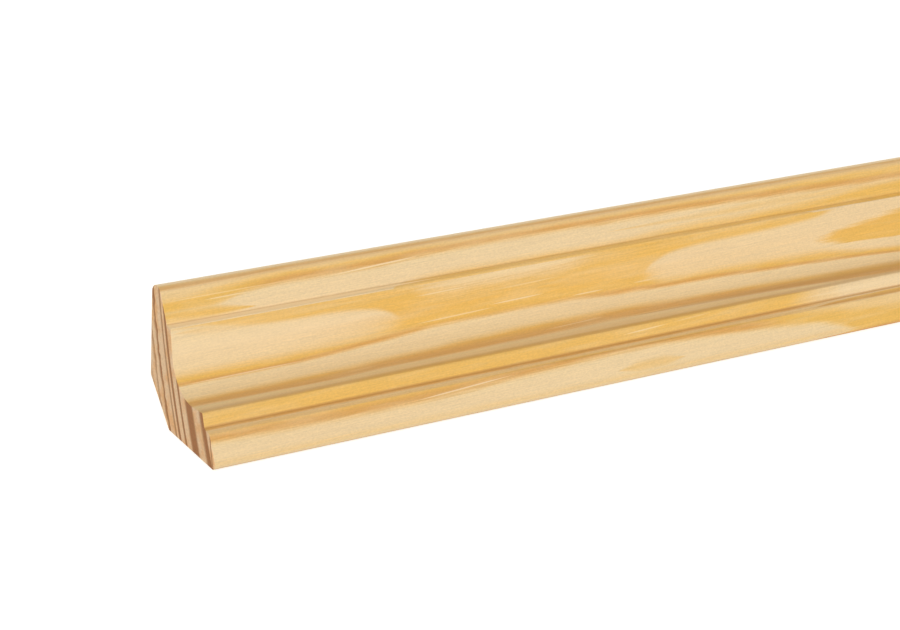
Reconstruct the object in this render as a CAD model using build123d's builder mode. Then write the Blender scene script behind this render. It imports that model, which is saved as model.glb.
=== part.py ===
from build123d import *
from math import radians, tan
import os

# Cove moulding: one length of planed pine, run through a moulder as a single piece.
# X runs along the stock, -Y faces the room and +Z is up. The stock lies on its base face, with the
# origin below the middle of its box. The section is drawn as (depth from the back, height).
# Lengths are in millimetres. A lean is in degrees from upright, and a fall or rise from level.

# Stock: the length it is sold in, and the two legs that meet the wall and the ceiling
stock_length = 2400.0
back_height = 30.0
base_depth = 30.0

# Bevel that keeps the hidden edge clear of the corner the moulding is fitted into
back_bevel = 9.0

# Upper edge: a full round tip, and the leaning face below it
tip_radius = 2.15
upper_lean = 28.0
upper_drop = 6.9

# Quirk: the small ledge between the upper face and the hollow
quirk_width = 1.65
quirk_fall = 6.0

# Cove: a leaning wall, a hollow of this radius and a floor that rises towards the room
cove_lean = 12.0
cove_radius = 8.7
cove_floor_rise = 7.0

# Step in front of the cove, down to the shelf
step_height = 10.4
step_lean = 20.0

# Shelf and nose: the lowest members of the section
shelf_height = 7.05
shelf_width = 2.3
shelf_fall = 10.0
nose_lean = 26.0
nose_radius = 1.2

# Easing on the sharp front arrises
arris_radius = 0.4


def slope(degrees):
    """Sideways travel for each unit along a line that leans by this angle."""
    return tan(radians(degrees))


def on_leaning_face(point, lean, height):
    """Point at this height on the face that leans back through the given point."""
    return Vector(point.X - (height - point.Y) * slope(lean), height)


section_plane = Plane(origin=(0, base_depth / 2, 0), x_dir=(0, -1, 0), z_dir=(-1, 0, 0))

with BuildPart() as moulding:
    with BuildSketch(section_plane):
        with BuildLine():
            nose = CenterArc((base_depth - nose_radius, nose_radius), nose_radius, -90, 90 + nose_lean)
            tip = CenterArc((tip_radius, back_height - tip_radius), tip_radius, upper_lean, 180 - upper_lean)

            # Lower members, measured up and back from the nose
            shelf_arris = on_leaning_face(nose @ 1, nose_lean, shelf_height)
            step_corner = shelf_arris + Vector(-shelf_width, shelf_width * slope(shelf_fall))
            step_arris = on_leaning_face(step_corner, step_lean, step_height)

            # Upper members, measured down from the tip
            quirk_corner = on_leaning_face(tip @ 0, upper_lean, back_height - upper_drop)
            quirk_arris = quirk_corner + Vector(quirk_width, -quirk_width * slope(quirk_fall))

            # The hollow's wall and floor would meet in this corner
            cove_wall = Axis(quirk_arris, (slope(cove_lean), -1))
            cove_floor = Axis(step_arris, (-1, -slope(cove_floor_rise)))
            cove_corner = cove_wall.intersect(cove_floor)

            FilletPolyline(
                nose @ 1,
                shelf_arris,
                step_corner,
                step_arris,
                cove_corner,
                quirk_arris,
                quirk_corner,
                tip @ 0,
                radius=[arris_radius, 0, arris_radius, cove_radius, arris_radius, 0],
            )
            Polyline(tip @ 1, (0, back_bevel), (back_bevel, 0), nose @ 0)
        make_face()
    extrude(amount=stock_length / 2, both=True)

moulding.part.label = "cove_moulding"
os.makedirs("parts", exist_ok=True)
export_step(moulding.part, "parts/cove_moulding.step")
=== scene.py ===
"""Dress the cove moulding: one length of planed pine, lying on a pale studio floor."""

import logging
import math
from dataclasses import dataclass
from enum import Enum
from typing import Any, Union

import bmesh
import bpy
from bmesh.types import BMEdge, BMesh, BMVert
from bpy.types import ID, Material, Node, NodeSocket, NodeTree, Object, World
from mathutils import Matrix, Vector


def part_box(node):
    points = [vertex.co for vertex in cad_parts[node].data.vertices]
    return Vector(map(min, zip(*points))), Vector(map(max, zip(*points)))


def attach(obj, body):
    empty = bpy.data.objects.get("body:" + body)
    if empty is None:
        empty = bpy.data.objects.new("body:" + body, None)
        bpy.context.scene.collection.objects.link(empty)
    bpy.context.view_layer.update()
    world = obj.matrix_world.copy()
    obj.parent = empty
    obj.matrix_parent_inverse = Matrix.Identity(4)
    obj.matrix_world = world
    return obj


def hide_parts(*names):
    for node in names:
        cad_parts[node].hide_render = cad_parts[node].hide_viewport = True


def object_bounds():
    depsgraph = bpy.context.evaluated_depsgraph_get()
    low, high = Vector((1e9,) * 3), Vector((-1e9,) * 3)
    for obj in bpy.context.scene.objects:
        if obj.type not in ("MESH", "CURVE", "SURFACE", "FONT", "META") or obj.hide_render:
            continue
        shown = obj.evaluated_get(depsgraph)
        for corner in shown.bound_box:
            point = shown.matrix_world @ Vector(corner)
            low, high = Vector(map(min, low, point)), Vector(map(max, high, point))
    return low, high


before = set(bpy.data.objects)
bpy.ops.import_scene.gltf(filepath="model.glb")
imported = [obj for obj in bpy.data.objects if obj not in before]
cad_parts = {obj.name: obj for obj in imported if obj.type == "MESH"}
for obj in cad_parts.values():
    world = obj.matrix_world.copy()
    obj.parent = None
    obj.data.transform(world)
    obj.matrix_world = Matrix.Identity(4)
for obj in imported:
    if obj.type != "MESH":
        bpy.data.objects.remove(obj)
CAD_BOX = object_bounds()

LOG = logging.getLogger("cove_moulding")
MM = 0.001
IMAGE_WIDTH = 900
IMAGE_HEIGHT = 630
WHITE = "#FFFFFF"

# The length is the frame's; the depth is the part's own, since the frame's facets fall a little short
STOCK_LENGTH = (CAD_BOX[1][0] - CAD_BOX[0][0]) / MM
BASE_DEPTH = 30.0

# Most values of a noise lie between these two
NOISE_RANGE = (0.3, 0.7)

# A smooth step keeps within its range by itself, and a clamp would only take up the shader's room
SMOOTH = {"interpolation_type": "SMOOTHSTEP", "clamp": False}

# Leaves out the run along the stock
ACROSS = (0, 1, 1)

Source = Union[Node, NodeSocket, float, tuple, None]
Track = tuple[tuple[float, float], ...]
Span = tuple[float, float]


def linear(hex_code: str) -> tuple[float, float, float, float]:
    """Turn an sRGB hex colour into the linear colour that a shader takes.

    Args:
        hex_code: colour as #RRGGBB.

    Returns:
        Linear red, green and blue, with an alpha of 1.
    """
    channels = [int(hex_code[i : i + 2], 16) / 255 for i in (1, 3, 5)]

    # The sRGB curve has a straight foot and a power above it
    light = [c / 12.92 if c <= 0.04045 else ((c + 0.055) / 1.055) ** 2.4 for c in channels]
    return (light[0], light[1], light[2], 1.0)


def add_node(tree: NodeTree, kind: str, *sources: Source, **settings: Any) -> Node:
    """Add one shader node, set its properties and fill its inputs in order.

    Args:
        tree: node tree that takes the node.
        kind: node type without its ShaderNode prefix.
        sources: one entry for each input in use: a node for its first output, a socket, a constant or None.
        settings: properties of the node.

    Returns:
        The new node.
    """
    node = tree.nodes.new("ShaderNode" + kind)
    for name, value in settings.items():
        setattr(node, name, value)
    sockets = [socket for socket in node.inputs if socket.enabled]
    for socket, source in zip(sockets, sources):
        if isinstance(source, Node):
            source = next(output for output in source.outputs if output.enabled)
        if isinstance(source, NodeSocket):
            tree.links.new(source, socket)
        elif source is not None:
            socket.default_value = source
    return node


def empty_tree(owner: Union[Material, World]) -> NodeTree:
    """Turn nodes on for a material or world and clear its tree.

    Args:
        owner: the material or world.

    Returns:
        Its empty node tree.
    """
    owner.use_nodes = True
    owner.node_tree.nodes.clear()
    return owner.node_tree


def seen_directly(tree: NodeTree) -> Node:
    """Tell a direct or mirrored look at the studio from the light that it gives.

    Args:
        tree: node tree of the floor or of the surround.

    Returns:
        The node that gives 1 for camera, glossy and transmission rays, and 0 for the rest.
    """
    rays = add_node(tree, "LightPath").outputs
    mirrored = add_node(
        tree, "Math", rays["Is Glossy Ray"], rays["Is Transmission Ray"], operation="MAXIMUM"
    )
    return add_node(tree, "Math", rays["Is Camera Ray"], mirrored, operation="MAXIMUM")


def add_object(name: str, data: ID) -> Object:
    """Add an object with this data to the scene.

    Args:
        name: the object's name.
        data: its mesh, lamp or camera.

    Returns:
        The object, at the origin.
    """
    made = bpy.data.objects.new(name, data)
    bpy.context.scene.collection.objects.link(made)
    return made


class StreakTone(Enum):
    """How a streak differs from the wood: pale fibres and painted light, ledge light, honey, painted shade.
    """

    PALE = 1
    LEDGE_LIGHT = 2
    HONEY = 3
    SHADE = 4


@dataclass(frozen=True)
class GrowthRing:
    """Latewood of one growth ring, in millimetres across the rings at each distance from the near end.

    The wood takes on a haze of colour up to the start track, darkens softly from there and is deepest just
    before the edge track, where it stops short. The deepest part can be kept below a height and between
    two distances, and the whole ring above a height. Where a face lies along the ring, the crown track
    gives the height from which the latewood shows on the upper part of that face. The tilt turns the ring
    below the shelf.
    """

    start: Track
    edge: Track
    soft: float
    haze: float = 0.0
    haze_width: float = 0.1
    deep_width: float = 0.4
    deep_below: float = 0.0
    deep_span: tuple[float, ...] = ()
    above: float = 0.0
    crisp: float = 0.06
    tilt: float = 0.0
    peak: float = 1.0
    crown: Track = ()


@dataclass(frozen=True)
class PaintedShadeLine:
    """Line of painted shade along the stock, in an inner corner or on the tip's upper round.

    Its place is (depth from the back, height) in millimetres.
    """

    depth: float
    height: float
    radius: float
    strength: float


@dataclass(frozen=True)
class FibreAndLightStreak:
    """A streak of fibres, of painted light or of painted shade from one point of the wood to another,
    tapered at both ends.

    Points are (distance from the near end, depth from the back, height) in millimetres.
    """

    begin: tuple[float, float, float]
    end: tuple[float, float, float]
    radius: float
    strength: float
    tone: StreakTone = StreakTone.PALE

    def ends(self) -> list[Vector]:
        """Both points, with the depth measured from the middle of the stock."""
        return [Vector((x, BASE_DEPTH / 2 - depth, z)) for x, depth, z in (self.begin, self.end)]


@dataclass(frozen=True)
class WoodPlace:
    """Nodes that say where a point lies in the wood.

    Height, ring and track are in millimetres: up from the base, across the rings and along their tracks.
    The share is the track as a part of the figured length.
    """

    height: NodeSocket
    ring: Node
    track: Node
    share: Node


@dataclass(frozen=True)
class PinePlaned:
    """Planed, unfinished pine.

    A moulder's cutters leave long faces smooth and matt: pale earlywood and honey latewood run along the
    stock, in flames and islands where a face cuts the rings at a low angle, with fine lines of fibre.
    The saw leaves the ends rougher and darker, and there the same rings show as brown lines. Painted shade
    darkens the inner corners, the tip's upper round, the hollow and the shelf, and painted light brightens
    the tip's top and the ledge and lifts the hollow a little.
    """

    slot: str = "pine"
    earlywood: str = "#F3DBAE"
    earlywood_pink: str = "#F0D3A5"
    latewood: str = "#EDBE61"
    latewood_deep: str = "#DDA75C"
    # Pale fibres, and the painted light on the tip and in the hollow
    pale_fibre_and_light: str = "#FFEBC6"
    # Colour of the painted light on the ledge
    ledge_light_colour: str = "#FFE1B1"
    # Colour of the painted shade in the corners, in the hollow and on the shelf
    painted_shade: str = "#BE8A4C"
    end_earlywood: str = "#F3D2AB"
    end_resin: str = "#EFBF8A"
    end_latewood: str = "#AC774C"
    ior: float = 1.5
    roughness: float = 0.62
    latewood_roughness: float = 0.52
    end_roughness: float = 0.85
    relief: float = 0.35
    relief_depth: float = 0.03

    # The rings are arcs about a pith that lies well in front of the stock
    pith_depth: float = 148.0
    pith_height: float = 60.0
    pith_ring: float = 158.86
    ring_span: float = 32.0
    figured_length: float = 200.0

    # A track's first point is for the sawn end; the long faces follow it from a little way in
    end_skin: float = 0.1
    face_start: float = 0.8

    # How softly a ring's limits take hold, along the stock and in height
    deep_fade: float = 8.0
    deep_fade_height: float = 0.8
    above_fade: float = 0.1

    # The height below which a ring may tilt, and how far the fibres fray its edges
    shelf_height: float = 7.0
    fray: float = 0.056

    # Rings towards the back, which the front doesn't cut, lie at a steady pitch
    back_ring_edge: float = 8.6
    back_ring_pitch: float = 2.4
    back_ring_start: float = 0.2
    back_ring_full: float = 0.78
    back_ring_end: float = 0.86
    back_ring_faint: float = 0.25
    back_ring_bend: float = 0.28
    back_ring_deep_power: float = 2.0
    back_ring_limits: Span = (9.8, 9.4)

    # The cove's wall lies almost along one ring
    wall_ring: float = 14.25
    wall_ring_fade: float = 0.2
    wall_top: float = 22.75
    wall_middle: float = 16.8
    wall_middle_fade: float = 1.2
    crown_soft: float = 0.7
    crown_tone: float = 0.9

    # Angle in radians at which the fibres climb along the stock
    fibre_rise: float = 0.025

    # Pattern sizes; real fibres are finer, and these are as coarse as they need to be to show in the render
    fibre_length: float = 12.0
    fibre_width: float = 0.22
    grit_length: float = 0.6
    grit_width: float = 0.3
    saw: float = 0.5
    mottle_length: float = 16.0
    mottle_width: float = 1.5
    resin: float = 4.0
    blotch_length: float = 55.0
    blotch_width: float = 5.0

    # Octaves of the noises, and the share that each octave keeps of the one before
    saw_octaves: float = 4.0
    fine_octaves: float = 3.0
    soft_octaves: float = 2.0
    plain_octaves: float = 1.0
    octave_share: float = 0.55

    # A streak widens from a hairline at either end; its middle and taper are parts of its length
    hairline: float = 0.001
    streak_middle: float = 0.5
    streak_taper: float = 0.3

    # How far each pattern lightens and darkens the wood, and where resin and end lines begin and are full
    mottle_tone: Span = (0.75, 1.18)
    fibre_tone: Span = (0.935, 1.05)
    grit_tone: Span = (0.945, 1.05)
    saw_tone: Span = (0.868, 1.092)
    resin_range: Span = (0.45, 0.65)
    end_line_range: Span = (0.3, 0.95)

    # Past the length that the photograph shows, the rings wander slowly along the stock
    near_end: float = 20.0
    drawn_out: float = 3.0
    wander_length: float = 240.0
    wander_width: float = 60.0
    wander: float = 2.2

    rings: tuple[GrowthRing, ...] = (
        # Under the tip
        GrowthRing(
            start=((0, 9.9), (200, 9.8)),
            edge=((0, 11.15), (16, 11.1), (30, 10.9), (130, 10.85), (200, 10.75)),
            soft=1.2,
            deep_width=1.0,
            crisp=0.5,
            peak=0.85,
        ),
        # Strip along the upper face
        GrowthRing(
            start=((0, 11.85), (8, 11.7), (16, 11.5), (28, 11.3), (200, 11.25)),
            edge=(
                (0, 12.9), (0.4, 12.3), (14, 12.15), (20, 12.0), (30, 11.92), (48, 11.92), (62, 11.78),
                (85, 11.7), (104, 11.7), (110, 11.76), (130, 11.76), (150, 11.86), (170, 11.97),
                (186, 12.08), (200, 12.15),
            ),
            soft=0.5,
            haze=0.45,
            haze_width=0.7,
            deep_width=0.32,
            deep_span=(22, 400),
            crisp=0.45,
        ),
        # Foot of the upper face and quirk, and a second flame on the cove's wall
        GrowthRing(
            start=(
                (0, 14.4), (46, 14.3), (52, 13.7), (58, 13.0), (66, 12.8), (85, 12.75), (110, 12.8),
                (130, 12.55), (150, 12.5), (170, 12.35), (186, 12.1), (200, 12.0),
            ),
            edge=(
                (0, 13.25), (150, 13.25), (160, 13.6), (168, 14.1), (174, 14.24), (182, 14.36),
                (192, 14.46), (200, 14.52),
            ),
            soft=0.8,
            deep_width=0.0,
            crisp=0.14,
        ),
        # Quirk
        GrowthRing(
            start=((0, 15.5), (50, 15.4), (58, 13.1), (160, 13.1), (168, 14.2), (176, 15.5), (200, 15.5)),
            edge=((0, 15.6), (200, 15.6)),
            soft=0.3,
            deep_width=0.1,
            above=22.55,
            peak=0.78,
        ),
        # Flame and islands on the cove's wall
        GrowthRing(
            start=(
                (0, 14.24), (14, 14.22), (30, 14.16), (40, 14.08), (46, 13.98), (51, 13.8), (56, 13.5),
                (62, 13.35), (112, 13.35), (118, 13.5), (121, 13.8), (124, 14.0), (130, 14.08),
                (150, 14.12), (170, 14.24), (178, 14.5), (186, 14.85), (200, 15.3),
            ),
            edge=(
                (0, 15.4), (14, 15.4), (30, 15.28), (46, 14.88), (56, 14.62), (62, 14.46), (85, 14.4),
                (98, 14.44), (105, 14.58), (111, 14.7), (117, 14.72), (121, 14.82), (142, 14.96),
                (150, 15.14), (170, 15.5), (186, 15.95), (200, 16.6),
            ),
            crown=(
                (0, 22.8), (8, 22.2), (14, 21.2), (22, 20.5), (30, 20.2), (40, 20.0), (46, 19.5),
                (51, 18.3), (54, 16.5), (57, 14.0), (117, 14.0), (120, 16.5), (123, 18.3), (130, 20.0),
                (150, 20.6), (160, 20.9), (170, 21.5), (176, 22.8), (182, 24.0), (200, 24.0),
            ),
            soft=0.9,
            deep_width=0.3,
            deep_below=13.8,
            crisp=0.45,
        ),
        # Broad brown ring in the hollow
        GrowthRing(
            start=(
                (0, 16.6), (0.4, 17.4), (14, 17.2), (30, 17.1), (46, 16.7), (62, 16.3), (85, 15.8),
                (110, 15.8), (130, 16.4), (150, 16.7), (170, 17.3), (200, 18.3),
            ),
            edge=(
                (0, 20.0), (14, 20.1), (30, 20.4), (46, 19.5), (85, 19.2), (110, 18.6), (130, 18.7),
                (150, 19.8), (170, 21.7), (186, 22.7), (200, 23.2),
            ),
            soft=1.9,
            haze=0.08,
            haze_width=1.5,
            deep_width=3.0,
            crisp=1.8,
        ),
        # Front of the hollow and the step
        GrowthRing(
            start=(
                (0, 22.4), (0.4, 23.6), (14, 23.4), (30, 22.8), (46, 22.4), (140, 22.4), (148, 22.8),
                (154, 23.6), (160, 24.6), (165, 26.0), (172, 28.0), (200, 28.0),
            ),
            edge=((0, 25.35), (200, 25.35)),
            soft=2.3,
            haze=0.28,
            haze_width=2.5,
            deep_width=0.12,
            crisp=0.9,
        ),
        # Shelf, where the photographed length runs out
        GrowthRing(
            start=((0, 28.0), (150, 27.5), (160, 25.9), (170, 25.4), (200, 25.2)),
            edge=((0, 26.0), (150, 26.2), (165, 26.5), (200, 26.9)),
            soft=0.6,
            deep_width=1.0,
            crisp=0.4,
        ),
        # Band along the nose
        GrowthRing(
            start=(
                (0, 26.75), (62, 26.7), (85, 26.3), (130, 26.3), (150, 26.75), (160, 26.9), (170, 27.2),
                (200, 27.4),
            ),
            edge=(
                (0, 27.2), (30, 27.3), (48, 27.32), (62, 27.24), (75, 27.14), (85, 27.06), (110, 26.95),
                (130, 27.1), (150, 27.36), (158, 27.5), (164, 27.8), (170, 28.15), (200, 28.6),
            ),
            soft=0.45,
            haze=0.45,
            haze_width=1.2,
            deep_span=(-20, 145),
            crisp=0.4,
            tilt=0.2,
        ),
        # Foot of the nose
        GrowthRing(
            start=((0, 28.0), (200, 28.0)),
            edge=((0, 28.6), (200, 28.6)),
            soft=0.3,
            tilt=0.2,
            peak=0.35,
        ),
    )

    streaks: tuple[FibreAndLightStreak, ...] = (
        # Fine pale fibres on the upper face
        FibreAndLightStreak((0, 4.96, 27.16), (28, 4.87, 27.3), 0.2, 0.35),
        FibreAndLightStreak((9, 5.38, 26.4), (20, 5.3, 26.5), 0.24, 0.55),
        FibreAndLightStreak((40, 5.14, 26.82), (62, 4.72, 27.6), 0.24, 0.7),
        # Fine pale fibres in the cove
        FibreAndLightStreak((2, 13.05, 11.8), (30, 12.84, 11.98), 0.24, 0.55),
        FibreAndLightStreak((58, 10.9, 14.45), (79, 10.7, 14.9), 0.26, 0.5),
        FibreAndLightStreak((77, 10.45, 15.5), (92, 10.35, 15.75), 0.27, 0.6),
        FibreAndLightStreak((99, 11.05, 14.2), (108, 11.0, 14.25), 0.28, 0.55),
        FibreAndLightStreak((116, 10.95, 14.4), (122, 10.9, 14.45), 0.28, 0.4),
        FibreAndLightStreak((58, 9.33, 20.25), (72, 9.3, 20.4), 0.3, 0.4),
        FibreAndLightStreak((77, 9.7, 18.5), (96, 9.62, 18.9), 0.3, 0.25),
        FibreAndLightStreak((88, 16.8, 10.0), (105, 16.2, 10.15), 0.3, 0.4),
        # Fine pale fibres on the step and the nose
        FibreAndLightStreak((104, 24.42, 9.0), (117, 24.23, 9.5), 0.28, 0.5),
        FibreAndLightStreak((118, 24.2, 9.6), (129, 24.06, 10.0), 0.26, 0.3),
        FibreAndLightStreak((48, 28.08, 5.4), (73, 27.55, 6.5), 0.26, 0.65),
        # Broad areas that are paler than the rest, some of them painted light
        # Painted light on the ledge, which faces up
        FibreAndLightStreak((-40, 7.75, 23.03), (66, 7.75, 23.03), 1.2, 1.15, StreakTone.LEDGE_LIGHT),
        # Paler wood on the cove's wall and on the step
        FibreAndLightStreak((56, 9.0, 21.6), (108, 8.9, 22.1), 1.0, 0.2),
        FibreAndLightStreak((-30, 9.7, 18.2), (52, 9.7, 18.2), 3.6, 0.25),
        FibreAndLightStreak((156, 24.4, 9.0), (250, 24.4, 9.0), 1.8, 0.3),
        FibreAndLightStreak((-25, 8.9, 21.9), (48, 9.0, 21.6), 1.6, 0.15),
        # Painted light along the tip's top and round, over the whole length
        FibreAndLightStreak((-2000, 1.3, 29.75), (4400, 1.3, 29.75), 1.8, 1.0),
        FibreAndLightStreak((-2000, 3.4, 29.4), (4400, 3.4, 29.4), 2.2, 0.09),
        # Painted light that lifts the shade in the hollow a little, over the whole length
        FibreAndLightStreak((-2000, 20.0, 9.6), (4400, 20.0, 9.6), 6.8, 0.095),
        # Paler wood on the cove's wall
        FibreAndLightStreak((92, 9.9, 17.6), (134, 9.8, 18.0), 3.2, 0.1),
        # Honey patches on the nose, under the ledge, in the wedge at the near end and on the upper face
        FibreAndLightStreak((100, 29.3, 2.95), (119, 29.2, 3.15), 1.9, 0.65, StreakTone.HONEY),
        FibreAndLightStreak((0, 8.95, 21.7), (26, 9.05, 21.2), 1.5, 0.4, StreakTone.HONEY),
        FibreAndLightStreak((-8, 5.75, 25.6), (19, 5.3, 26.5), 2.3, 1.1, StreakTone.HONEY),
        FibreAndLightStreak((-14, 6.05, 25.2), (21, 6.8, 23.7), 2.2, 0.95, StreakTone.HONEY),
        FibreAndLightStreak((-14, 6.9, 23.6), (18, 6.9, 23.6), 1.3, 0.7, StreakTone.HONEY),
        FibreAndLightStreak((110, 5.7, 25.7), (330, 5.7, 25.7), 2.9, 0.45, StreakTone.HONEY),
        # Painted shade in the hollow, and in the notch and on the shelf under the step
        FibreAndLightStreak((-2000, 22.7, 10.2), (4400, 22.7, 10.2), 1.7, 0.3, StreakTone.SHADE),
        FibreAndLightStreak((-2000, 26.2, 7.3), (4400, 26.2, 7.3), 1.6, 0.09, StreakTone.SHADE),
        FibreAndLightStreak((110, 18.0, 9.8), (320, 20.5, 10.0), 3.2, 0.42, StreakTone.SHADE),
    )

    # Painted shade on the tip's upper round, in the quirk and in the notch below the step
    painted_shade_lines: tuple[PaintedShadeLine, ...] = (
        PaintedShadeLine(3.35, 29.63, 1.15, 0.28),
        PaintedShadeLine(7.11, 23.10, 0.3, 0.42),
        PaintedShadeLine(24.98, 7.46, 0.55, 0.78),
    )

    def material(self) -> Material:
        """Build the pine as one procedural material.

        Returns:
            The material, which reads Object coordinates.
        """
        made = bpy.data.materials.new("planed_pine")
        tree = empty_tree(made)

        # Millimetres from the near end, and the same along the fibres, which climb a little along the stock
        coordinates = add_node(tree, "TexCoord")
        to_near_end = (STOCK_LENGTH / 2, 0, 0)
        to_millimetres = (1 / MM, 1 / MM, 1 / MM)
        place = add_node(tree, "Mapping", coordinates.outputs["Object"], to_near_end, None, to_millimetres)
        along = add_node(tree, "Mapping", place, None, (0, self.fibre_rise, 0))

        fibre = self.stretched_noise(tree, along, self.fibre_length, self.fibre_width, self.fine_octaves)
        saw = self.stretched_noise(tree, place, self.saw, self.saw, self.saw_octaves)
        on_end = self.end_share(tree, place)
        latewood, deepest, ring_lines = self.latewood_shares(tree, place, fibre, on_end)
        streaks = self.streak_shares(tree, place)
        body = self.body_colour(tree, along, fibre, latewood, deepest, streaks[StreakTone.HONEY])
        face = self.face_colour(tree, place, body, streaks)
        end_face = self.end_colour(tree, place, saw, ring_lines)
        colour = add_node(tree, "Mix", on_end, face, end_face, data_type="RGBA")

        rough_face = add_node(tree, "MapRange", latewood, 0.0, 1.0, self.roughness, self.latewood_roughness)
        rough = add_node(tree, "Mix", on_end, rough_face, self.end_roughness)
        height = add_node(tree, "Mix", on_end, fibre, saw)
        bump = add_node(tree, "Bump", self.relief, self.relief_depth * MM)
        tree.links.new(height.outputs[0], bump.inputs["Height"])

        shader = add_node(tree, "BsdfPrincipled")
        shader.inputs["IOR"].default_value = self.ior
        tree.links.new(colour.outputs[2], shader.inputs["Base Color"])
        tree.links.new(rough.outputs[0], shader.inputs["Roughness"])
        tree.links.new(bump.outputs[0], shader.inputs["Normal"])
        add_node(tree, "OutputMaterial", shader)
        return made

    def body_colour(
        self, tree: NodeTree, along: Node, fibre: Node, latewood: Node, deepest: Node, honey: Source
    ) -> Node:
        """Colour the long faces from earlywood to latewood, with the fine fibres over both.

        Args:
            tree: node tree of the pine.
            along: node that gives millimetres along the fibres.
            fibre: fine noise along the fibres.
            latewood: share of latewood.
            deepest: share of its deepest part.
            honey: share of honey streaks.

        Returns:
            The node that gives the colour.
        """
        blotch = self.stretched_noise(tree, along, self.blotch_length, self.blotch_width, self.soft_octaves)
        early = add_node(
            tree, "Mix", blotch, linear(self.earlywood), linear(self.earlywood_pink), data_type="RGBA"
        )
        late = add_node(
            tree, "Mix", deepest, linear(self.latewood), linear(self.latewood_deep), data_type="RGBA"
        )
        with_honey = add_node(tree, "Math", latewood, honey, operation="MAXIMUM")
        mottle = self.stretched_noise(tree, along, self.mottle_length, self.mottle_width, self.fine_octaves)
        uneven = add_node(tree, "MapRange", mottle, *NOISE_RANGE, *self.mottle_tone)
        tone = add_node(tree, "Math", with_honey, uneven, operation="MULTIPLY")
        wood = add_node(tree, "Mix", tone, early, late, data_type="RGBA")
        fine = add_node(tree, "MapRange", fibre, *NOISE_RANGE, *self.fibre_tone)
        grit = self.stretched_noise(tree, along, self.grit_length, self.grit_width, self.plain_octaves)
        pitted = add_node(tree, "MapRange", grit, *NOISE_RANGE, *self.grit_tone)
        texture = add_node(tree, "Math", fine, pitted, operation="MULTIPLY")
        return add_node(tree, "VectorMath", wood, texture, operation="MULTIPLY")

    def face_colour(
        self, tree: NodeTree, place: Node, body: Node, streaks: dict[StreakTone, Source]
    ) -> Node:
        """Lay the streaks and the lines of painted shade over the long faces.

        Args:
            tree: node tree of the pine.
            place: node that gives millimetres.
            body: colour of the wood.
            streaks: share of streaks of each tone.

        Returns:
            The node that gives the colour.
        """
        # Painted light on the ledge
        ledge_light = streaks[StreakTone.LEDGE_LIGHT]
        # Pale fibres, and painted light on the tip and in the hollow
        pale = streaks[StreakTone.PALE]
        # Painted shade in the quirk, in the notch and on the tip's upper round
        line_shade = self.painted_shade_share(tree, place)
        # Painted shade from the lines and from the streaks in the hollow and on the shelf
        shade = add_node(tree, "Math", line_shade, streaks[StreakTone.SHADE], operation="MAXIMUM")
        ledge_lit = add_node(tree, "Mix", ledge_light, body, linear(self.ledge_light_colour), data_type="RGBA")
        streaked = add_node(tree, "Mix", pale, ledge_lit, linear(self.pale_fibre_and_light), data_type="RGBA")
        return add_node(tree, "Mix", shade, streaked, linear(self.painted_shade), data_type="RGBA")

    def end_colour(self, tree: NodeTree, place: Node, saw: Node, lines: Node) -> Node:
        """Colour the ends, where the rings show as brown lines in wood that the saw left rough.

        Args:
            tree: node tree of the pine.
            place: node that gives millimetres.
            saw: noise of the saw's marks.
            lines: share of latewood without its haze.

        Returns:
            The node that gives the colour.
        """
        resin = self.stretched_noise(tree, place, self.resin, self.resin, self.soft_octaves)
        resinous = add_node(tree, "MapRange", resin, *self.resin_range)
        early = add_node(
            tree, "Mix", resinous, linear(self.end_earlywood), linear(self.end_resin), data_type="RGBA"
        )
        late = add_node(tree, "MapRange", lines, *self.end_line_range)
        wood = add_node(tree, "Mix", late, early, linear(self.end_latewood), data_type="RGBA")
        sawn = add_node(tree, "MapRange", saw, *NOISE_RANGE, *self.saw_tone)
        return add_node(tree, "VectorMath", wood, sawn, operation="MULTIPLY")

    def stretched_noise(
        self, tree: NodeTree, place: Node, length: float, width: float, detail: float
    ) -> Node:
        """Add noise that is drawn out along the stock.

        Args:
            tree: node tree of the pine.
            place: node that gives millimetres.
            length: size of the pattern along the stock, in millimetres.
            width: size of the pattern across the stock, in millimetres.
            detail: octaves of the noise.

        Returns:
            The noise node.
        """
        scaled = add_node(tree, "Mapping", place, None, None, (1 / length, 1 / width, 1 / width))
        return add_node(tree, "TexNoise", scaled, 1.0, detail, self.octave_share)

    def end_share(self, tree: NodeTree, place: Node) -> Node:
        """Work out which points lie on the sawn ends.

        Args:
            tree: node tree of the pine.
            place: node that gives millimetres.

        Returns:
            The node that gives 1 on the ends and 0 elsewhere.
        """
        axes = add_node(tree, "SeparateXYZ", place)
        half = STOCK_LENGTH / 2
        off_middle = add_node(tree, "Math", axes.outputs["X"], half, operation="SUBTRACT")
        reach = add_node(tree, "Math", off_middle, operation="ABSOLUTE")
        return add_node(tree, "MapRange", reach, half - self.end_skin, half - self.end_skin / 2, **SMOOTH)

    def wood_place(self, tree: NodeTree, place: Node, fibre: Node, on_end: Node) -> WoodPlace:
        """Work out where each point lies across the growth rings and along their tracks.

        Args:
            tree: node tree of the pine.
            place: node that gives millimetres.
            fibre: fine noise that frays the rings.
            on_end: node that gives 1 on the sawn ends.

        Returns:
            The nodes that give the place in the wood.
        """
        axes = add_node(tree, "SeparateXYZ", place)
        pith = (0, BASE_DEPTH / 2 - self.pith_depth, self.pith_height)
        from_pith = add_node(tree, "VectorMath", place, pith, operation="SUBTRACT")
        across = add_node(tree, "VectorMath", from_pith, ACROSS, operation="MULTIPLY")
        radius = add_node(tree, "VectorMath", across, operation="LENGTH")
        ring = add_node(tree, "Math", self.pith_ring, radius.outputs["Value"], operation="SUBTRACT")
        fray = add_node(tree, "MapRange", fibre, *NOISE_RANGE, -self.fray, self.fray)
        frayed = add_node(tree, "Math", ring, fray, operation="ADD")

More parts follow.
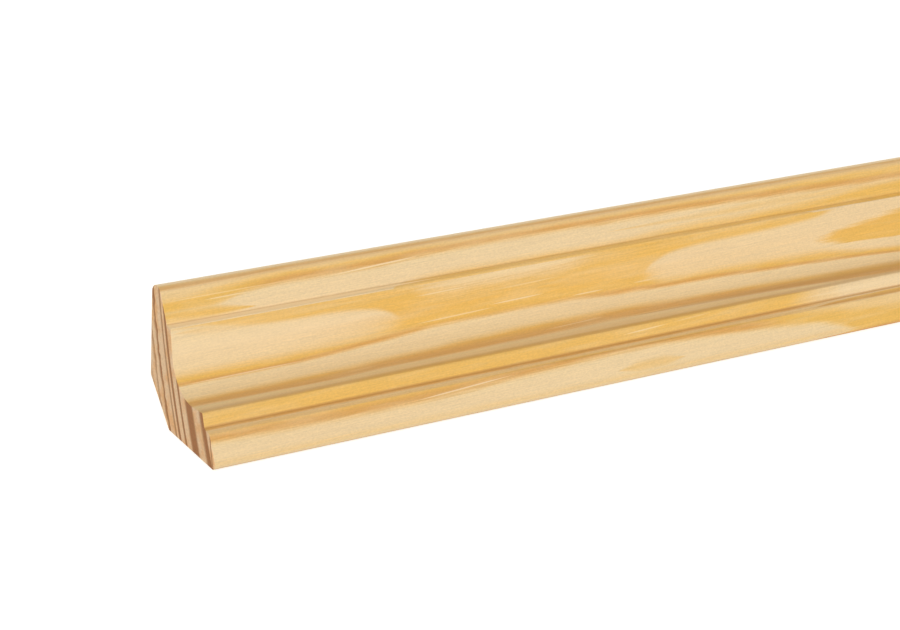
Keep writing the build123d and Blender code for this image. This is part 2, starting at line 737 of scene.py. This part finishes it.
        # Past the photographed length the rings wander, and the tracks run back and forth short of the end
        along = axes.outputs["X"]
        slow = self.stretched_noise(tree, place, self.wander_length, self.wander_width, self.plain_octaves)
        swing = add_node(tree, "MapRange", slow, *NOISE_RANGE, -self.wander, self.wander)
        beyond = add_node(tree, "MapRange", along, self.figured_length, 2 * self.figured_length, **SMOOTH)
        wandered = add_node(tree, "Math", swing, beyond, frayed, operation="MULTIPLY_ADD")
        followed = add_node(tree, "Math", along, self.figured_length, operation="MINIMUM")
        rest = add_node(tree, "Math", along, followed, operation="SUBTRACT")
        calm = add_node(tree, "Math", rest, self.drawn_out, operation="DIVIDE")
        turned = add_node(tree, "Math", calm, self.figured_length - self.near_end, operation="PINGPONG")
        reached = add_node(tree, "Math", followed, turned, operation="SUBTRACT")
        first = add_node(tree, "MapRange", on_end, 0.0, 1.0, self.face_start, 0.0, clamp=False)
        track = add_node(tree, "Math", reached, first, operation="MAXIMUM")
        share = add_node(tree, "Math", track, self.figured_length, operation="DIVIDE")
        return WoodPlace(axes.outputs["Z"], wandered, track, share)

    def track_curve(self, tree: NodeTree, track: Track, share: Node) -> Node:
        """Add a curve that follows a ring along the stock.

        Args:
            tree: node tree of the pine.
            track: distance and ring position in millimetres.
            share: share of the figured length, from 0 to 1.

        Returns:
            The node that gives the ring position in millimetres.
        """
        curve = add_node(tree, "FloatCurve", 1.0, share)
        points = curve.mapping.curves[0].points
        for index, (along, position) in enumerate(track):
            spot = (along / self.figured_length, position / self.ring_span)
            if index in (0, len(track) - 1):
                points[0 if index == 0 else -1].location = spot
            else:
                points.new(*spot)
        for point in points:
            point.handle_type = "AUTO_CLAMPED"
        curve.mapping.update()
        return add_node(tree, "Math", curve, self.ring_span, operation="MULTIPLY")

    def latewood_shares(
        self, tree: NodeTree, place: Node, fibre: Node, on_end: Node
    ) -> tuple[Node, Node, Node]:
        """Work out how much latewood there is at each point of the wood.

        Args:
            tree: node tree of the pine.
            place: node that gives millimetres.
            fibre: fine noise that frays the rings.
            on_end: node that gives 1 on the sawn ends.

        Returns:
            The nodes that give the share of latewood, of its deepest part and of latewood without its haze,
            from 0 to 1.
        """
        wood = self.wood_place(tree, place, fibre, on_end)
        share = self.back_rings(tree, place, wood)
        lines = share
        deepest = add_node(tree, "Math", share, self.back_ring_deep_power, operation="POWER")
        for growth in self.rings:
            late, darkest, line = self.ring_shares(tree, growth, wood)
            share = add_node(tree, "Math", share, late, operation="MAXIMUM")
            deepest = add_node(tree, "Math", deepest, darkest, operation="MAXIMUM")
            lines = add_node(tree, "Math", lines, line, operation="MAXIMUM")
        return share, deepest, lines

    def back_rings(self, tree: NodeTree, place: Node, wood: WoodPlace) -> Node:
        """Work out the latewood of the steady rings towards the back.

        Args:
            tree: node tree of the pine.
            place: node that gives millimetres.
            wood: place in the wood.

        Returns:
            The node that gives its share, which ends where the followed rings begin.
        """
        bend = self.stretched_noise(
            tree, place, self.blotch_length, self.back_ring_pitch, self.plain_octaves
        )
        bent = add_node(tree, "MapRange", bend, *NOISE_RANGE, -self.back_ring_bend, self.back_ring_bend)
        waved = add_node(tree, "Math", wood.ring, bent, operation="ADD")
        phase = add_node(tree, "Math", waved, self.back_ring_edge, operation="SUBTRACT")
        count = add_node(tree, "Math", phase, self.back_ring_pitch, operation="DIVIDE")
        part = add_node(tree, "Math", count, operation="FRACT")
        darker = add_node(tree, "MapRange", part, self.back_ring_start, self.back_ring_full, **SMOOTH)
        paler = add_node(tree, "MapRange", part, self.back_ring_end, 1.0, 1.0, 0.0, **SMOOTH)
        ring = add_node(tree, "Math", darker, paler, operation="MULTIPLY")
        strength = add_node(tree, "MapRange", wood.ring, 0.0, self.back_ring_edge, self.back_ring_faint, 1.0)
        strong = add_node(tree, "Math", ring, strength, operation="MULTIPLY")
        behind = add_node(tree, "MapRange", wood.ring, *self.back_ring_limits, **SMOOTH)
        return add_node(tree, "Math", strong, behind, operation="MULTIPLY")

    def ring_shares(self, tree: NodeTree, growth: GrowthRing, wood: WoodPlace) -> tuple[Node, Source, Node]:
        """Work out the latewood of one growth ring.

        Args:
            tree: node tree of the pine.
            growth: the ring.
            wood: place in the wood.

        Returns:
            The sources of its share of latewood, of its deepest part and of latewood without its haze.
        """
        start = self.track_curve(tree, growth.start, wood.share)
        edge = self.track_curve(tree, growth.edge, wood.share)
        here = wood.ring
        if growth.tilt:
            below = add_node(tree, "Math", self.shelf_height, wood.height, operation="SUBTRACT")
            drop = add_node(tree, "Math", below, 0.0, operation="MAXIMUM")
            here = add_node(tree, "Math", drop, growth.tilt, wood.ring, operation="MULTIPLY_ADD")

        hazy = add_node(tree, "Math", start, growth.haze_width, operation="SUBTRACT")
        haze = add_node(tree, "MapRange", here, hazy, start, 0.0, growth.haze, **SMOOTH)
        full = add_node(tree, "Math", start, growth.soft, operation="ADD")
        rise = add_node(tree, "MapRange", here, start, full, **SMOOTH)
        late = add_node(tree, "MapRange", rise, 0.0, 1.0, haze, 1.0, clamp=False)
        if growth.crown:
            late = self.crowned(tree, growth, late, here, wood)
        gone = add_node(tree, "Math", edge, growth.crisp, operation="ADD")
        fall = add_node(tree, "MapRange", here, edge, gone, growth.peak, 0.0, **SMOOTH)
        if growth.above:
            low = growth.above - self.above_fade
            high = growth.above + self.above_fade
            shown = add_node(tree, "MapRange", wood.height, low, high, **SMOOTH)
            fall = add_node(tree, "Math", fall, shown, operation="MULTIPLY")
        share = add_node(tree, "Math", late, fall, operation="MULTIPLY")
        line = add_node(tree, "Math", rise, fall, operation="MULTIPLY")
        if not growth.deep_width:
            return share, 0.0, line

        deep = add_node(tree, "Math", edge, growth.deep_width, operation="SUBTRACT")
        deeper = add_node(tree, "MapRange", here, deep, edge, **SMOOTH)
        darkest = add_node(tree, "Math", deeper, share, operation="MULTIPLY")
        if growth.deep_below:
            high = growth.deep_below + self.deep_fade_height
            low = growth.deep_below - self.deep_fade_height
            under = add_node(tree, "MapRange", wood.height, high, low, **SMOOTH)
            darkest = add_node(tree, "Math", darkest, under, operation="MULTIPLY")
        for bound, way in zip(growth.deep_span, (1, -1)):
            fade = way * self.deep_fade
            within = add_node(tree, "MapRange", wood.track, bound - fade, bound + fade, **SMOOTH)
            darkest = add_node(tree, "Math", darkest, within, operation="MULTIPLY")
        return share, darkest, line

    def crowned(self, tree: NodeTree, growth: GrowthRing, late: Node, here: Node, wood: WoodPlace) -> Node:
        """Let the crown track take over from the start track on the upper part of the cove's wall.

        Args:
            tree: node tree of the pine.
            growth: the ring that the wall lies along.
            late: its latewood by the start track.
            here: position across the rings.
            wood: place in the wood.

        Returns:
            The node that gives the latewood by both tracks.
        """
        crown = self.track_curve(tree, growth.crown, wood.share)
        over = add_node(tree, "Math", wood.height, crown, operation="SUBTRACT")
        shown = add_node(
            tree, "MapRange", over, -self.crown_soft, self.crown_soft, 0.0, self.crown_tone, **SMOOTH
        )
        inner = self.wall_ring - self.wall_ring_fade
        on_ring = add_node(tree, "MapRange", here, inner, self.wall_ring, **SMOOTH)
        high = self.wall_top + self.above_fade
        low = self.wall_top - self.above_fade
        below_ledge = add_node(tree, "MapRange", wood.height, high, low, **SMOOTH)
        on_wall = add_node(tree, "Math", on_ring, below_ledge, operation="MULTIPLY")
        upper = add_node(tree, "Math", shown, on_wall, operation="MULTIPLY")
        first = self.wall_middle - self.wall_middle_fade
        last = self.wall_middle + self.wall_middle_fade
        part = add_node(tree, "MapRange", wood.height, first, last, **SMOOTH)
        return add_node(tree, "Mix", part, late, upper)

    def painted_shade_share(self, tree: NodeTree, place: Node) -> Source:
        """Work out where the lines of painted shade show.

        Args:
            tree: node tree of the pine.
            place: node that gives millimetres.

        Returns:
            The node that gives their share.
        """
        share: Source = 0.0
        for line in self.painted_shade_lines:
            centre = (0, BASE_DEPTH / 2 - line.depth, line.height)
            offset = add_node(tree, "VectorMath", place, centre, operation="SUBTRACT")
            across = add_node(tree, "VectorMath", offset, ACROSS, operation="MULTIPLY")
            away = add_node(tree, "VectorMath", across, operation="LENGTH").outputs["Value"]
            near = add_node(tree, "MapRange", away, line.radius, 0.0, 0.0, line.strength, **SMOOTH)
            share = add_node(tree, "Math", share, near, operation="MAXIMUM")
        return share

    def streak_shares(self, tree: NodeTree, place: Node) -> dict[StreakTone, Source]:
        """Work out where the streaks of fibre, painted light and painted shade show.

        Args:
            tree: node tree of the pine.
            place: node that gives millimetres.

        Returns:
            The node that gives the share of streaks of each tone.
        """
        shares: dict[StreakTone, Source] = {tone: 0.0 for tone in StreakTone}
        for streak in self.streaks:
            begin, end = streak.ends()
            run = end - begin
            pace = run / run.length_squared
            offset = add_node(tree, "VectorMath", place, tuple(begin), operation="SUBTRACT")
            step = add_node(tree, "VectorMath", offset, tuple(pace), operation="DOT_PRODUCT")
            after = add_node(tree, "Math", step.outputs["Value"], 0.0, operation="MAXIMUM")
            part = add_node(tree, "Math", after, 1.0, operation="MINIMUM")
            nearest = add_node(tree, "VectorMath", tuple(run), part, operation="SCALE")
            away = add_node(tree, "VectorMath", offset, nearest, operation="DISTANCE").outputs["Value"]
            taper = add_node(tree, "Math", part, self.streak_middle, operation="PINGPONG")
            widening = add_node(tree, "Math", taper, streak.radius / self.streak_taper, operation="MULTIPLY")
            reach = add_node(tree, "Math", widening, streak.radius, operation="MINIMUM")
            width = add_node(tree, "Math", reach, self.hairline, operation="MAXIMUM")
            near = add_node(tree, "MapRange", away, width, 0.0, 0.0, streak.strength, **SMOOTH)
            shares[streak.tone] = add_node(tree, "Math", shares[streak.tone], near, operation="MAXIMUM")
        return shares


@dataclass(frozen=True)
class SectionCorner:
    """One corner of the run section before it is rounded, in millimetres.

    The point is (depth from the back, height).
    """

    depth: float
    height: float
    radius: float = 0.0
    steps: int = 1

    def point(self) -> Vector:
        """The corner as a vector."""
        return Vector((self.depth, self.height))


@dataclass
class CoveMoulding:
    """The run stock: its section, in millimetres and degrees as the part's source has it, and its length."""

    name: str = "cove_moulding_run"
    node: str = "cove_moulding"
    stock_length: float = STOCK_LENGTH
    back_height: float = 30.0
    base_depth: float = BASE_DEPTH
    back_bevel: float = 9.0
    tip_radius: float = 2.15
    upper_lean: float = 28.0
    upper_drop: float = 6.9
    quirk_width: float = 1.65
    quirk_fall: float = 6.0
    cove_lean: float = 12.0
    cove_radius: float = 8.7
    cove_floor_rise: float = 7.0
    step_height: float = 10.4
    step_lean: float = 20.0
    shelf_height: float = 7.05
    shelf_width: float = 2.3
    shelf_fall: float = 10.0
    nose_lean: float = 26.0
    nose_radius: float = 1.2
    arris_radius: float = 0.4

    # Easing of the sawn ends, and the distance within which the section's points are merged
    end_easing: float = 0.12
    weld: float = 0.002

    # Steps of each round, cuts along the stock, and the angle from which an edge stays sharp
    tip_back_steps: int = 14
    tip_front_steps: int = 10
    arris_steps: int = 6
    cove_steps: int = 26
    nose_steps: int = 14
    end_steps: int = 2
    length_cuts: int = 47
    sharp_angle: float = 22.0

    def corners(self) -> list[SectionCorner]:
        """Set out the section's corners, round from the back bevel over the tip to the base.

        Returns:
            The corners in order.
        """
        upper = math.radians(self.upper_lean)
        tip = self.tip_radius * (1 + (1 - math.sin(upper)) / math.cos(upper))
        quirk = tip + self.upper_drop * math.tan(upper)
        quirk_height = self.back_height - self.upper_drop
        ledge = quirk + self.quirk_width
        ledge_height = quirk_height - self.quirk_width * math.tan(math.radians(self.quirk_fall))

        nose_turn = math.radians(90 + self.nose_lean)
        foot = self.base_depth - self.nose_radius + self.nose_radius * math.tan(nose_turn / 2)
        shelf = foot - self.shelf_height * math.tan(math.radians(self.nose_lean))
        notch = shelf - self.shelf_width
        notch_height = self.shelf_height + self.shelf_width * math.tan(math.radians(self.shelf_fall))
        step = notch - (self.step_height - notch_height) * math.tan(math.radians(self.step_lean))

        # The hollow's wall and floor meet in the corner that the cove rounds
        wall = math.tan(math.radians(self.cove_lean))
        floor = math.tan(math.radians(self.cove_floor_rise))
        run = step - ledge
        cove_height = (self.step_height - floor * run + wall * floor * ledge_height) / (1 + wall * floor)
        cove = ledge + wall * (ledge_height - cove_height)
        return [
            SectionCorner(0, self.back_bevel),
            SectionCorner(0, self.back_height, self.tip_radius, self.tip_back_steps),
            SectionCorner(tip, self.back_height, self.tip_radius, self.tip_front_steps),
            SectionCorner(quirk, quirk_height),
            SectionCorner(ledge, ledge_height, self.arris_radius, self.arris_steps),
            SectionCorner(cove, cove_height, self.cove_radius, self.cove_steps),
            SectionCorner(step, self.step_height, self.arris_radius, self.arris_steps),
            SectionCorner(notch, notch_height),
            SectionCorner(shelf, self.shelf_height, self.arris_radius, self.arris_steps),
            SectionCorner(foot, 0, self.nose_radius, self.nose_steps),
            SectionCorner(self.back_bevel, 0),
        ]

    def in_row(self, point: Vector) -> Vector:
        """Place a point of the section on the near end, in metres in the row frame."""
        return Vector((-self.stock_length / 2, self.base_depth / 2 - point.x, point.y)) * MM

    def draw_section(self, mesh: BMesh) -> None:
        """Draw the section as one face on the near end, each round spun about its own centre.

        Args:
            mesh: empty mesh that takes the face.
        """
        corners = self.corners()
        runs: list[tuple[BMVert, BMVert]] = []
        for before, corner, after in zip(corners[-1:] + corners, corners, corners[1:] + corners[:1]):
            arriving = (corner.point() - before.point()).normalized()
            leaving = (after.point() - corner.point()).normalized()
            turn = math.atan2(arriving.cross(leaving), arriving.dot(leaving))
            start = corner.point() - arriving * corner.radius * math.tan(abs(turn) / 2)
            first = mesh.verts.new(self.in_row(start))
            last = first
            if corner.radius:
                side = Vector((-arriving.y, arriving.x)) * math.copysign(corner.radius, turn)
                spun = bmesh.ops.spin(
                    mesh,
                    geom=[first],
                    cent=self.in_row(start + side),
                    axis=(1, 0, 0),
                    angle=-turn,
                    steps=corner.steps,
                )
                last = next(item for item in spun["geom_last"] if isinstance(item, BMVert))
            runs.append((first, last))
        for (_, last), (first, _) in zip(runs, runs[1:] + runs[:1]):
            mesh.edges.new((last, first))
        bmesh.ops.remove_doubles(mesh, verts=mesh.verts[:], dist=self.weld * MM)
        bmesh.ops.contextual_create(mesh, geom=mesh.edges[:])

    @staticmethod
    def run_along(edge: BMEdge) -> float:
        """How far an edge runs along the stock, in metres."""
        return abs(edge.verts[0].co.x - edge.verts[1].co.x)

    def build(self) -> Object:
        """Run the section along the stock and ease the sawn ends.

        Returns:
            The moulding, in place in the row frame.
        """
        length = self.stock_length * MM
        mesh = bmesh.new()
        self.draw_section(mesh)
        run = bmesh.ops.extrude_face_region(mesh, geom=mesh.faces[:])
        far = [item for item in run["geom"] if isinstance(item, BMVert)]
        bmesh.ops.translate(mesh, vec=(length, 0, 0), verts=far)
        bmesh.ops.recalc_face_normals(mesh, faces=mesh.faces[:])

        rim = [edge for edge in mesh.edges if self.run_along(edge) < MM]
        bmesh.ops.bevel(
            mesh,
            geom=rim,
            offset=self.end_easing * MM,
            offset_type="OFFSET",
            affect="EDGES",
            segments=self.end_steps,
            profile=0.5,
            material=-1,
        )
        long_edges = [edge for edge in mesh.edges if self.run_along(edge) > length / 2]
        bmesh.ops.subdivide_edges(mesh, edges=long_edges, cuts=self.length_cuts)

        for face in mesh.faces:
            face.smooth = True
        for edge in mesh.edges:
            edge.smooth = edge.calc_face_angle(0.0) < math.radians(self.sharp_angle)
        data = bpy.data.meshes.new(self.name)
        mesh.to_mesh(data)
        mesh.free()
        piece = add_object(self.name, data)
        flat = piece.modifiers.new("flat_faces", "WEIGHTED_NORMAL")
        flat.keep_sharp = True
        return piece

    def dress(self, piece: Object, finish: PinePlaned) -> None:
        """Give the moulding its finish and tie it to the CAD body and node.

        Args:
            piece: moulding from build.
            finish: the pine.
        """
        piece.data.materials.append(finish.material())
        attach(piece, "root")
        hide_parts(self.node)


@dataclass(frozen=True)
class FloorWhite:
    """Matt white studio board: it shows white to the camera and keeps the shadow that falls on it."""

    board: str = "#E8E8E6"
    glow: float = 0.65

    def material(self) -> Material:
        """Build the board's material.

        Returns:
            The material.
        """
        made = bpy.data.materials.new("white_studio_board")
        tree = empty_tree(made)
        strength = add_node(tree, "Math", seen_directly(tree), self.glow, operation="MULTIPLY")
        board = add_node(tree, "BsdfDiffuse", linear(self.board))
        glow = add_node(tree, "Emission", linear(WHITE), strength)
        both = add_node(tree, "AddShader", board, glow)
        add_node(tree, "OutputMaterial", both)
        return made


@dataclass(frozen=True)
class SoftLight:
    """A wide soft light far from the stock, with angles in degrees from level and from straight in front."""

    name: str
    energy: float
    turn: float
    rise: float
    spread: float = 60.0

    def build(self) -> Object:
        """Hang the light.

        Returns:
            The light.
        """
        lamp = bpy.data.lights.new(self.name, "SUN")
        lamp.energy = self.energy
        lamp.angle = math.radians(self.spread)
        light = add_object(self.name, lamp)
        rise = math.radians(self.rise)
        turn = math.radians(self.turn)
        towards = Vector((math.sin(turn) * math.cos(rise), -math.cos(turn) * math.cos(rise), math.sin(rise)))
        light.rotation_euler = towards.to_track_quat("Z", "Y").to_euler()
        return light


@dataclass
class Studio:
    """Pale floor, white surround and wide soft lights, with lengths in millimetres."""

    floor_half: float = 8000.0
    floor_drop: float = 0.1
    surround_light: float = 0.48
    surround_tint: str = "#FFF7EA"
    lights: tuple[SoftLight, ...] = (
        SoftLight("front_soft_light", 2.02, -30.0, 13.5),
        SoftLight("back_soft_light", 0.8, 150.0, 8.0),
    )

    def build_floor(self) -> Object:
        """Lay the floor just under the stock.

        Returns:
            The floor.
        """
        mesh = bmesh.new()
        bmesh.ops.create_grid(mesh, x_segments=1, y_segments=1, size=self.floor_half * MM)
        bmesh.ops.translate(mesh, vec=(0, 0, -self.floor_drop * MM), verts=mesh.verts[:])
        data = bpy.data.meshes.new("studio_floor")
        mesh.to_mesh(data)
        mesh.free()
        floor = add_object("studio_floor", data)
        data.materials.append(FloorWhite().material())
        return floor

    def light(self) -> None:
        """Set the white surround and the soft lights."""
        world = bpy.data.worlds.new("white_surround")
        bpy.context.scene.world = world
        tree = empty_tree(world)
        seen = seen_directly(tree)
        strength = add_node(tree, "MapRange", seen, 0.0, 1.0, self.surround_light, 1.0)
        tint = add_node(tree, "Mix", seen, linear(self.surround_tint), linear(WHITE), data_type="RGBA")
        surround = add_node(tree, "Background", tint, strength)
        add_node(tree, "OutputWorld", surround)

        for light in self.lights:
            light.build()


@dataclass
class PhotoCamera:
    """The photograph's viewpoint: angles in degrees, lengths in millimetres, places in pixels.

    The anchor is the near end's corner where the wall and base planes meet.
    """

    azimuth: float = 33.283
    elevation: float = 23.365
    roll: float = 3.787
    focal_pixels: float = 2506.9
    anchor_x: float = 150.04
    anchor_y: float = 412.85
    anchor_distance: float = 528.65
    sensor_width: float = 36.0
    clip_start: float = 10.0

    def build(self, near_corner: Vector) -> Object:
        """Make the scene's camera.

        Args:
            near_corner: the anchor in metres in the row frame.

        Returns:
            The camera.
        """
        turn = math.radians(self.azimuth)
        rise = math.radians(self.elevation)
        roll = math.radians(self.roll)
        ahead = Vector((math.sin(turn) * math.cos(rise), math.cos(turn) * math.cos(rise), -math.sin(rise)))
        level = Vector((math.cos(turn), -math.sin(turn), 0))
        down = ahead.cross(level)
        image_right = level * math.cos(roll) - down * math.sin(roll)
        image_down = level * math.sin(roll) + down * math.cos(roll)
        distance = self.anchor_distance * MM
        offset = (
            image_right * (self.anchor_x - IMAGE_WIDTH / 2) * distance / self.focal_pixels
            + image_down * (self.anchor_y - IMAGE_HEIGHT / 2) * distance / self.focal_pixels
            + ahead * distance
        )
        data = bpy.data.cameras.new("photo_camera")
        data.sensor_width = self.sensor_width
        data.lens = self.focal_pixels * self.sensor_width / IMAGE_WIDTH
        data.clip_start = self.clip_start * MM
        data.dof.use_dof = False
        camera = add_object("photo_camera", data)
        axes = Matrix((image_right, -image_down, -ahead)).transposed()
        camera.matrix_world = Matrix.Translation(near_corner - offset) @ axes.to_4x4()
        bpy.context.scene.camera = camera
        return camera


def main() -> None:
    """Build the moulding, the studio and the camera in order."""
    logging.basicConfig(level=logging.INFO, format="%(name)s: %(message)s")
    bpy.context.scene.view_settings.view_transform = "Standard"

    moulding = CoveMoulding()
    piece = moulding.build()
    moulding.dress(piece, PinePlaned())
    LOG.info("%s: %d faces", piece.name, len(piece.data.polygons))

    studio = Studio()
    floor = studio.build_floor()
    studio.light()
    LOG.info("%s: stage", floor.name)

    low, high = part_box(moulding.node)
    camera = PhotoCamera().build(Vector((low[0], high[1], low[2])))
    LOG.info("%s: lens %.1f mm", camera.name, camera.data.lens)


if __name__ == "__main__":
    main()
